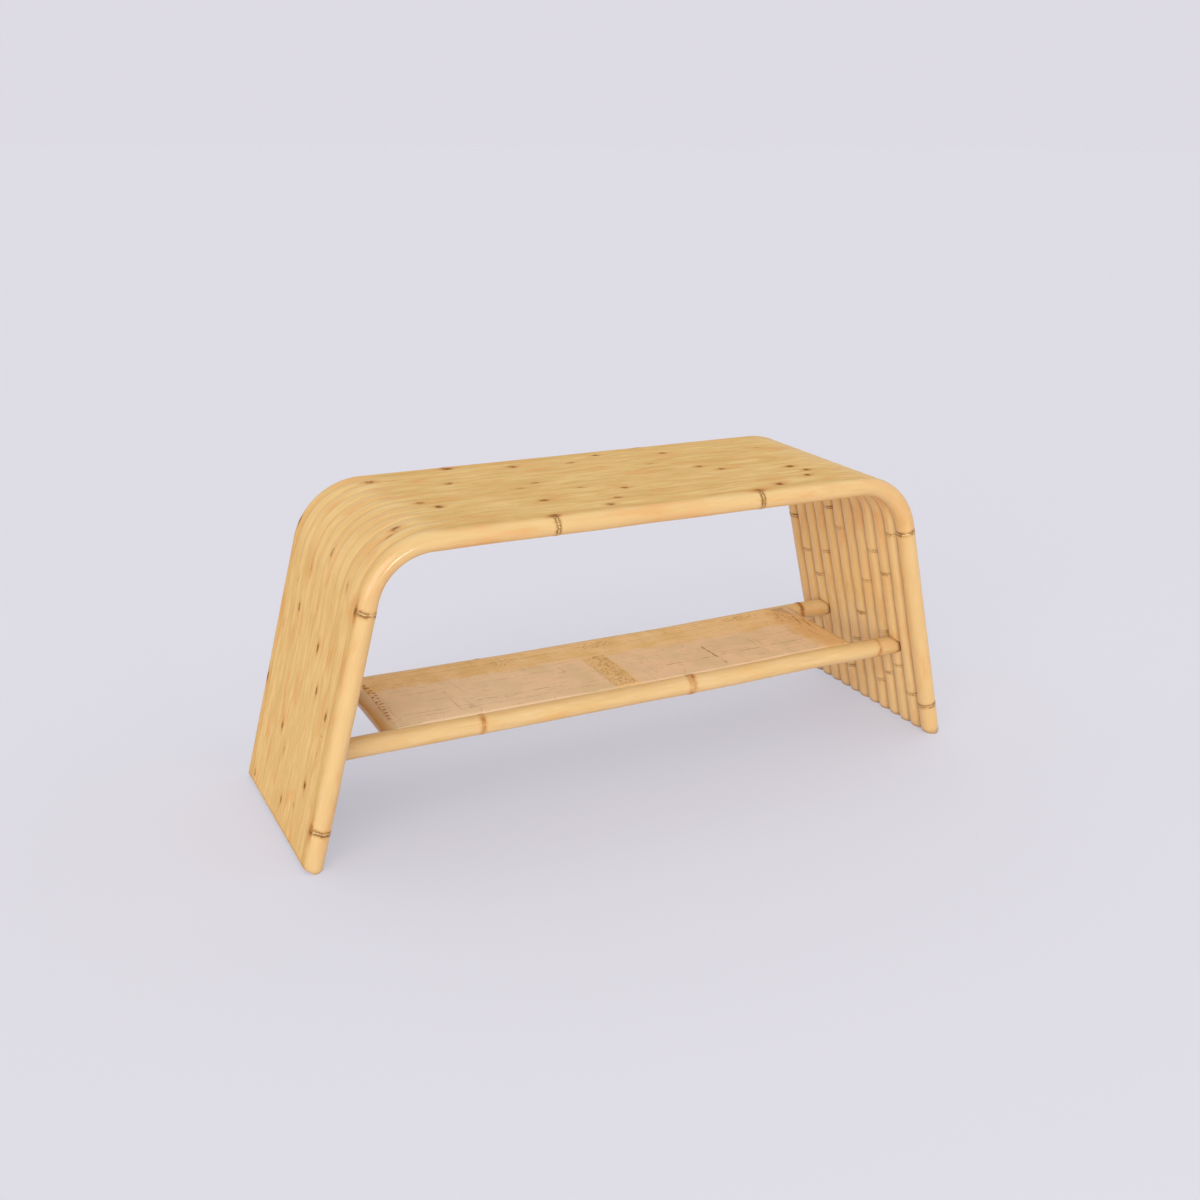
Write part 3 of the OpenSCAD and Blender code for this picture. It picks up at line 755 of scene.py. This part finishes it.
def seat_pole(i):
    """Pole i with its legs; free is the side, -1 or 1, on which it has no neighbour."""
    free = {1: -1, POLES: 1}.get(i, 0)
    rings = rings_along(i)
    s = rows_for(TOTAL, rings, POLE_STEP, BENDS)
    theta = pole_angles()
    out, across = np.cos(theta)[None, :], np.sin(theta)[None, :]
    from_foot = np.minimum(s, TOTAL - s)
    # how much each row lies in a bend
    bent = ease(from_foot, LEG - 0.02, LEG + 0.025)
    bent = (bent * ease(-from_foot, -(LEG + ARC + 0.03), -(LEG + ARC - 0.03)))[:, None]
    flat, flat_seam = section(theta, free, CROWN_FLAT)
    round_, round_seam = section(theta, free, CROWN_BEND)
    base = flat[None, :] * (1 - bent) + round_[None, :] * bent
    seam = flat_seam[None, :] * (1 - bent) + round_seam[None, :] * bent
    dist, mark, swell = ring_values(s, theta, rings, 0.45 if free else 0.12, free)
    # girth varies along the pole, more on its inner side
    girth = 0.00013 * wave(s, 100 + i, 0.09, 0.4) - 0.00013
    inside = np.clip(-out, 0, 1)
    girth = girth + inside * (0.00030 * wave(s, 200 + i, 0.05, 0.2) - 0.00030)
    lumps = 0.00008 * np.sin(3 * theta[None, :] + 30 * s[:, None] + i)
    rho = base + girth + lumps + np.minimum(swell, SWELL)
    n_off = np.minimum(rho * out, POLE_R - SPARE)
    y_off = rho * across * WIDER
    # the sides follow the wandering grooves, except on the two free sides
    front = 0.0 if free == -1 else groove(i - 1, s)
    back = 0.0 if free == 1 else groove(i, s)
    share = np.clip(y_off / (2 * HALF_PITCH) + 0.5, 0, 1)
    y_off = y_off + front * (1 - share) + back * share
    lo = -POLE_R if free == -1 else -HALF_PITCH - OVERLAP + front
    hi = POLE_R if free == 1 else HALF_PITCH + OVERLAP + back
    y_off = np.clip(y_off, lo, hi)
    point, tangent, normal = path(s)
    co = np.empty(n_off.shape + (3,))
    co[..., 0] = point[:, None, 0] + normal[:, None, 0] * n_off
    co[..., 1] = pole_y(i) + y_off
    co[..., 2] = point[:, None, 1] + normal[:, None, 1] * n_off
    # feet: the last rows slide along the leg so that the cut lies on the floor
    for away, way in ((s, 1), (TOTAL - s, -1)):
        close = np.clip(1 - away / FOOT_REACH, 0, 1)
        slide = n_off * math.tan(LEAN) * close[:, None]
        co[..., 0] += way * tangent[:, None, 0] * slide
        co[..., 2] += way * tangent[:, None, 1] * slide
    co[..., 2] = np.maximum(co[..., 2], 0.0)
    tone = float(rng.uniform(-0.10, 0.10)) + 0.08 * wave(s, 300 + i, 0.3, 0.9)
    outer = np.clip(out * 2.2 - 0.2, 0, 1) * (1 - 0.35 * bent)
    if free:
        # the two outer poles are darker, their free side is skin and their rings are the widest
        tone = tone - 0.30
        outer = outer * np.clip(1.15 - 1.7 * np.maximum(free * across, 0), 0, 1)
        dist = dist * 0.75
    else:
        # the legs are a little paler than the seat
        tone = tone + 0.20 * ease(-from_foot, -LEG - ARC, -LEG + 0.05)[:, None] - 0.04
    b = Build()
    b.tube(co, grain_along(s, theta, POLE_R, i * 7.31), cap_slot=1,
           tone=tone, node_d=dist, node_m=mark, outer=outer, seam=seam)
    obj = b.make(f"pole_{i:02d}", [pole_mat, end_mat], flip=True)
    place(obj, "rattan_pole", f"seat_pole_{i:02d}")


for i in range(1, POLES + 1):
    seat_pole(i)


# -------- shelf rails
RAIL_COLUMNS = 44


def leg_face(y, z):
    """Where a line along +X at y and z meets the inner face of the right leg."""
    best = np.full(np.broadcast(y, z).shape, 9.0)
    for i in range(1, POLES + 1):
        dy = np.abs(y - pole_y(i))
        depth = np.sqrt(np.maximum(POLE_R ** 2 - dy ** 2, 0))
        x = FOOT_X - z * math.tan(LEAN) - depth / math.cos(LEAN)
        best = np.where(dy <= POLE_R, np.minimum(best, x), best)
    return best - 0.0001


def rail_values(half, ring_list, step):
    """Rows, columns and ring values of a rail that reaches half to both sides of its middle."""
    theta = full_circle(RAIL_COLUMNS)
    rings = [(at + half, strength, 0) for at, strength in ring_list]
    s = rows_for(2 * half, rings, step)
    return s, theta, *ring_values(s, theta, rings, 1.0)


def hollowed(along, half, reach, face):
    """Draws the last bit of a rail, reach long, to the face that it meets."""
    squeeze = np.clip((np.abs(along) - (half - reach)) / reach, 0, 1)
    return np.sign(along) * (np.abs(along) + (face - half) * squeeze)


def long_rail(part, side, ring_list, seed, tone):
    """The front or back rail; its rings are (place from its middle, strength)."""
    half = FRONT_RAIL[1].x
    s, theta, dist, mark, swell = rail_values(half, ring_list, 0.008)
    girth = 0.00022 * wave(s, seed, 0.1, 0.4) - 0.0002
    lumps = 0.0001 * np.sin(2 * theta[None, :] + 14 * s[:, None] + seed)
    rho = RAIL_R + girth + lumps + np.minimum(swell * 1.1, 0.0006)
    bend_z = 0.0005 * wave(s, seed + 5, 0.2, 0.6)
    bend_y = 0.0004 * wave(s, seed + 6, 0.2, 0.6)
    x = (s - half)[:, None] * np.ones_like(rho)
    fade = np.clip((half - np.abs(s - half)) / 0.06, 0, 1)[:, None]
    z = RAIL_Z + rho * np.cos(theta) + drift(x, side * RAIL_Y) + bend_z * fade
    y = side * RAIL_Y + rho * np.sin(theta) + bend_y * fade
    co = np.stack([hollowed(x, half, 0.05, leg_face(y, z)), y, z], -1)
    tone = tone + 0.10 * wave(s, seed + 9, 0.2, 0.8)
    b = Build()
    b.tube(co, grain_along(s, theta, RAIL_R, seed * 3.7), cap_slot=1,
           tone=tone, node_d=dist, node_m=1.15 * mark, outer=0.55)
    place(b.make(f"{part}_rail", [rail_mat, end_mat]), "rattan_rail", f"shelf_{part}_rail")


def end_rail(part, side, ring_list, seed):
    half = RAIL_Y
    s, theta, dist, mark, swell = rail_values(half, ring_list, 0.006)
    girth = 0.00018 * wave(s, seed, 0.1, 0.3) - 0.0002
    rho = END_RAIL_R + girth + np.minimum(swell, 0.0002)
    y = (s - half)[:, None] * np.ones_like(rho)
    x = side * END_RAIL_X + shift(side * END_RAIL_X) + rho * np.sin(theta)
    up = END_RAIL_Z - RAIL_Z + rho * np.cos(theta)
    long_rail_face = RAIL_Y - np.sqrt(np.maximum(RAIL_R ** 2 - up ** 2, 0)) + 0.0002
    y = hollowed(y, half, 0.04, long_rail_face)
    co = np.stack([x, y, RAIL_Z + up + drift(side * END_RAIL_X, y)], -1)
    b = Build()
    b.tube(co, grain_along(s, theta, END_RAIL_R, seed * 3.7), cap_slot=1,
           tone=-0.12, node_d=dist, node_m=mark, outer=0.35)
    obj = b.make(f"{part}_end_rail", [rail_mat, end_mat], flip=True)
    place(obj, "rattan_rail", f"shelf_{part}_rail")


long_rail("front", -1, [(-0.256, 0.9), (0.0825, 0.8), (0.0885, 0.8), (0.437, 0.8)], 11, -0.02)
# the back rail gets a paler tone: painted fill light that offsets the shade it lies in
long_rail("back", 1, [(-0.181, 0.9), (0.120, 0.5), (0.418, 1.8)], 23, 0.35)
end_rail("left", -1, [], 37)
end_rail("right", 1, [(-0.022, 0.8)], 53)


# -------- woven shelf
def strip_section(width, thick):
    """A flat splint's cross-section, slightly crowned: across, up."""
    w, edge = width / 2, 0.85 * thick
    return np.array([[-w, edge], [-0.72 * w, thick], [0.0, 1.04 * thick], [0.72 * w, thick],
                     [w, edge], [0.0, 0.0]])


def cut_line(x, y):
    """Distance inside the cut of the mat's right back corner, negative beyond it."""
    inside = (MAT[1].x - x) / CORNER_X + (MAT[1].y - y) / CORNER_Y - 1
    return inside / math.hypot(1 / CORNER_X, 1 / CORNER_Y)


def lie(x, y):
    """How far the mat is off its drawn height: its edges are drawn down onto the rails."""
    inside = np.minimum(np.minimum(MAT[1].x - np.abs(x), MAT[1].y - np.abs(y)), cut_line(x, y))
    return -0.0014 * (1 - ease(inside, 0.0, 0.0045)) + drift(x, y)


def strip(b, run, across, height, width, thick, own, tone, along_x):
    """One splint: run and height give its line, across its place on the other axis."""
    sec = strip_section(width, thick)
    r = run[:, None] * np.ones((len(run), len(sec)))
    side = np.broadcast_to(across + sec[:, 0][None, :], r.shape)
    up = height[:, None] + sec[:, 1][None, :]
    x, y = (r, side) if along_x else (side, r)
    co = np.stack([x + shift(x), y, up + lie(x, y)], -1)
    off = np.broadcast_to(sec[:, 0][None, :], r.shape)
    grain = np.stack([r, off, np.full(r.shape, own)], -1)
    if along_x:
        co, grain = co[:, ::-1], grain[:, ::-1]
    b.tube(co, grain, tone=tone)


def within(lo, hi, along_x, across):
    """The span of a splint at this place across the mat, clear of the cut corner."""
    if along_x:
        cut = CORNER_X * max(0.0, (across - (MAT[1].y - CORNER_Y)) / CORNER_Y)
        return lo.x, min(hi.x, MAT[1].x - cut)
    cut = CORNER_Y * max(0.0, (across - (MAT[1].x - CORNER_X)) / CORNER_X)
    return lo.y, min(hi.y, MAT[1].y - cut)


def stitches(b, line, gap, length, turn, seed):
    """A row of short threads through the mat, laid along a line of (x, y) places."""
    r = np.random.default_rng(seed)
    line = np.array(line)
    steps = np.hypot(*np.diff(line, axis=0).T)
    reached = np.concatenate([[0], np.cumsum(steps)])
    t = np.linspace(-1, 1, 7)
    theta = full_circle(8)
    for k, s in enumerate(np.arange(0.002, reached[-1], gap)):
        x, y = np.interp(s, reached, line[:, 0]), np.interp(s, reached, line[:, 1])
        a = turn + r.uniform(-0.5, 0.5)
        half = length * r.uniform(0.42, 0.55)
        thick = r.uniform(0.00055, 0.00090) * np.sqrt(np.maximum(1 - t ** 2, 0.05))
        px, py = x + half * t * math.cos(a), y + half * t * math.sin(a)
        z = MAT[1].z - 0.0005 - 0.0006 * t ** 2 + drift(x, y)
        ring = np.stack([-math.sin(a) * np.cos(theta), math.cos(a) * np.cos(theta), np.sin(theta)], -1)
        co = np.stack([px, py, z], -1)[:, None, :] + thick[:, None, None] * ring[None]
        b.tube(co, co * 20 + k, slot=1)


def weave(part, slot, mats, pitch, width, thick, step, seed, rows=()):
    """A close plain weave that fills the box of one part of the mat.

    width is a splint's share of the pitch, step how far it rises and dips, and rows are the
    rows of stitches.
    """
    node = f"weave_{part}"
    lo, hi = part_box(node)
    nx = max(2, round((hi.x - lo.x) / pitch))
    ny = max(1, round((hi.y - lo.y) / pitch))
    px, py = (hi.x - lo.x) / nx, (hi.y - lo.y) / ny
    r = np.random.default_rng(seed)
    room = (MAT_T - 1.12 * thick) / 2
    mid = lo.z + room
    amp = min(step, room)
    b = Build()

    def height(run, start, p, parity):
        bend = np.cos(np.pi * ((run - start) / p - 0.5))
        return mid + amp * parity * np.sign(bend) * np.abs(bend) ** 0.7

    def lay(count, start, p, other_start, other_p, along_x, number):
        for k in range(count):
            across = start + (k + 0.5 + r.uniform(-0.05, 0.05)) * p
            a, z = within(lo, hi, along_x, across)
            run = np.arange(other_start, (hi.x if along_x else hi.y) + 1e-6, other_p / 4)
            run = np.unique(np.round(np.append(np.clip(run, a, z), z), 6))
            if len(run) < 3:
                continue
            parity = (1 if k % 2 else -1) * (1 if along_x else -1)
            line = height(run, other_start, other_p, parity)
            strip(b, run, across, line, width * p, thick, number + k, r.uniform(-0.04, 0.04), along_x)

    lay(ny, lo.y, py, lo.x, px, True, seed)
    lay(nx, lo.x, px, lo.y, py, False, seed + 500)
    for k, row in enumerate(rows):
        stitches(b, *row, seed + k)
    place(b.make(f"mat_{part}", mats), slot, node)


# Rows of stitches: the line that they follow, their gap, their length, their turn in radians
LEFT_ROWS = [
    ([(-0.3745, 0.066), (-0.370, 0.031), (-0.372, -0.016), (-0.379, -0.069)], 0.0105, 0.0070, -0.3),
    ([(-0.3765, 0.058), (-0.3755, 0.010), (-0.3785, -0.020)], 0.0190, 0.0045, 0.2),
]
CORNER_ROWS = [
    ([(0.369, 0.043), (0.362, 0.007)], 0.0062, 0.0060, -1.2),
    ([(0.376, 0.024), (0.3725, -0.003)], 0.0062, 0.0060, -1.0),
]
# Pitch, width, thickness and step of the splints
PANEL_WEAVE = (0.0042, 0.99, 0.0003, 0.00002)
BAND_WEAVE = (0.0050, 0.88, 0.0006, 0.00025)
BORDER_WEAVE = (0.0047, 0.98, 0.0004, 0.00003)
FRONT_HEM_WEAVE = (0.0030, 0.95, 0.0005, 0.0003)
LEFT_HEM_WEAVE = (0.0040, 0.95, 0.0005, 0.0003)
weave("left", "weave_panel", [panel_mat], *PANEL_WEAVE, 1000)
weave("right", "weave_panel", [panel_mat], *PANEL_WEAVE, 3000)
weave("centre_band", "weave_band", [band_mat], *BAND_WEAVE, 5000)
weave("back_border", "weave_band", [border_mat, thread_mat], *BORDER_WEAVE, 8000, CORNER_ROWS[:1])
weave("right_border", "weave_band", [border_mat, thread_mat], *BORDER_WEAVE, 9800, CORNER_ROWS[1:])
weave("front_border", "weave_band", [hem_mat], *FRONT_HEM_WEAVE, 6000)
weave("left_border", "weave_band", [hem_mat, thread_mat], *LEFT_HEM_WEAVE, 9500, LEFT_ROWS)


# -------- board, batten, screws, dowels
def grid_box(name, box, cells, mat, e):
    """A box whose edges are eased by e, with rows along X so that it can follow the drift."""
    lo, hi = box
    x = np.linspace(lo.x, hi.x, cells + 1)
    y0, y1, z0, z1 = lo.y, hi.y, lo.z, hi.z
    ring = np.array([[y0 + e, z0], [y1 - e, z0], [y1 - 0.3 * e, z0 + 0.3 * e], [y1, z0 + e],
                     [y1, z1 - e], [y1 - 0.3 * e, z1 - 0.3 * e], [y1 - e, z1], [y0 + e, z1],
                     [y0 + 0.3 * e, z1 - 0.3 * e], [y0, z1 - e], [y0, z0 + e],
                     [y0 + 0.3 * e, z0 + 0.3 * e]])
    co = np.empty((len(x), len(ring), 3))
    co[..., 0] = (x + shift(x))[:, None]
    co[..., 1] = ring[:, 0][None, :]
    co[..., 2] = ring[:, 1][None, :] + drift(co[..., 0], co[..., 1])
    b = Build()
    b.tube(co, co.copy())
    place(b.make(name, [mat], smooth=False), "board", f"shelf_{name}")


grid_box("board", BOARD, 48, board_mat, 0.0006)
grid_box("batten", BATTEN, 4, batten_mat, 0.0009)

# The rods and dowels keep their exact shapes and only get their wood
for name in ("seat_rods", "left_leg_rods", "right_leg_rods", "leg_dowels", "end_rail_dowels"):
    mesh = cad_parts[name].data
    mesh.materials.clear()
    mesh.materials.append(dowel_mat)


def screws():
    """Two countersunk screws whose heads show under the batten, each with a cross recess."""
    lo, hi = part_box("batten_screws")
    bottom = lo.z + float(drift(0.0, 0.0))
    length = hi.z - lo.z
    head_r, shank_r, thread_depth, thread_pitch = 0.0035, 0.00175, 0.0005, 0.0012
    # radius and height: the recess, the head, the plain shank, the thread and the tip
    profile = [(0.0009, 0.0011), (0.0010, 0.0), (0.0030, 0.0), (head_r - 0.0001, 0.0001),
               (head_r, 0.0003), (shank_r + 0.0001, head_r - shank_r), (shank_r, 0.003)]
    up = 0.003
    while up < length - 0.004:
        profile += [(shank_r, up + 0.0004), (shank_r - thread_depth, up + 0.0008),
                    (shank_r, up + thread_pitch)]
        up += thread_pitch
    profile += [(shank_r * 0.6, length - 0.002), (0.0001, length)]
    theta = full_circle(32)
    b = Build()
    for y in (lo.y + head_r, hi.y - head_r):
        rows = []
        for k, (radius, up) in enumerate(profile):
            ring_r = np.full_like(theta, radius)
            if k <= 1:
                # the first two rows are the recess: they are drawn out into a cross
                ring_r = ring_r * (0.55 + 1.35 * np.abs(np.cos(2 * theta)) ** 6)
            level = np.full_like(theta, bottom + up)
            rows.append(np.stack([ring_r * np.cos(theta), y + ring_r * np.sin(theta), level], -1))
        co = np.stack(rows)
        b.tube(co, co.copy())
    place(b.make("screws", [steel_mat], flip=True), "steel", "batten_screws")


screws()

# -------- floor and background
BACKGROUND = (0.727, 0.708, 0.769, 1.0)
FLOOR_COLOUR, FLOOR_GLOW = (0.804, 0.676, 0.648, 1.0), (0.634, 0.756, 0.922, 1.0)
FLOOR_HALF = 40.0
floor_mat = Surface("studio_floor")
floor_mat.surface("Base Color", FLOOR_COLOUR)
floor_mat.surface("Roughness", 0.95)
floor_mat.surface("Specular IOR Level", 0.1)
# seen by the camera the floor is partly its plain colour, so that the shadow on it is faint
ray = floor_mat.add("LightPath")
seen = floor_mat.most(ray.outputs["Is Camera Ray"], ray.outputs["Is Glossy Ray"])
plain = floor_mat.glow("Emission", FLOOR_GLOW, 1.04)
floor_mat.show(floor_mat.blend(floor_mat.times(seen, 0.46), floor_mat.bsdf.outputs[0], plain))
mesh = bpy.data.meshes.new("studio_floor")
corners = [(FLOOR_HALF * x, FLOOR_HALF * y, 0) for x, y in ((-1, -1), (1, -1), (1, 1), (-1, 1))]
mesh.from_pydata(corners, [], [(0, 1, 2, 3)])
mesh.materials.append(floor_mat.mat)
floor = add_object("studio_floor", mesh)

world = bpy.data.worlds.new("studio")
bpy.context.scene.world = world
w = Nodes(world, "OutputWorld")
light = w.glow("Background", (1.0, 0.985, 0.975, 1.0), 0.72)
backdrop = w.glow("Background", BACKGROUND, 1.0)
w.show(w.blend(w.add("LightPath").outputs["Is Camera Ray"], light, backdrop))


# -------- light
def lamp(name, kind, power, direction):
    """A lamp that shines in a direction."""
    obj = add_object(name, bpy.data.lights.new(name, kind))
    obj.data.energy = power
    obj.rotation_euler = Vector(direction).to_track_quat("-Z", "Y").to_euler()
    return obj


# direction, power, width in degrees and blue share of each sun
SUNS = {
    "low": ((0.64, 0.70, -0.32), 1.35, 50, 0.99),
    "back": ((-0.12, -0.50, -0.86), 0.26, 60, 1.0),
    "right": ((-0.75, 0.10, -0.60), 0.25, 60, 1.0),
}
for name, (direction, power, width, blue) in SUNS.items():
    sun = lamp(name, "SUN", power, direction)
    sun.data.angle = math.radians(width)
    sun.data.color = (1.0, 1.0, blue)
# A soft light in front gives the pale sheen on the bends; the camera doesn't see the light itself
SOFTBOX_AT, SOFTBOX_AIM = Vector((-0.108, -2.65, 0.325)), Vector((-0.42, -0.16, 0.40))
softbox = lamp("front_softbox", "AREA", 8.5, SOFTBOX_AIM - SOFTBOX_AT)
softbox.location = SOFTBOX_AT
softbox.data.shape = "RECTANGLE"
softbox.data.size = 0.45
softbox.data.size_y = 0.45
softbox.visible_camera = False

# -------- camera
AZIMUTH, ELEVATION, ROLL = math.radians(-26.96), math.radians(19.43), math.radians(0.818)
DISTANCE = 2.10727
cam_data = bpy.data.cameras.new("camera")
cam_data.sensor_width = 36.0
cam_data.lens = 41.1732
cam_data.clip_end = 200
cam = add_object("camera", cam_data)
back = Vector((math.sin(AZIMUTH) * math.cos(ELEVATION), -math.cos(AZIMUTH) * math.cos(ELEVATION),
               math.sin(ELEVATION)))
right = Vector((math.cos(AZIMUTH), math.sin(AZIMUTH), 0))
up = back.cross(right)
aim = Vector((0, 0, 0.225)) + right * -0.01683 + up * 0.02941
cam.location = aim + back * DISTANCE
rolled_right = right * math.cos(ROLL) + up * math.sin(ROLL)
rolled_up = up * math.cos(ROLL) - right * math.sin(ROLL)
axes = Matrix((rolled_right, rolled_up, back)).transposed()
cam.rotation_euler = axes.to_euler()
bpy.context.scene.camera = cam
bpy.context.scene.view_settings.view_transform = "Standard"
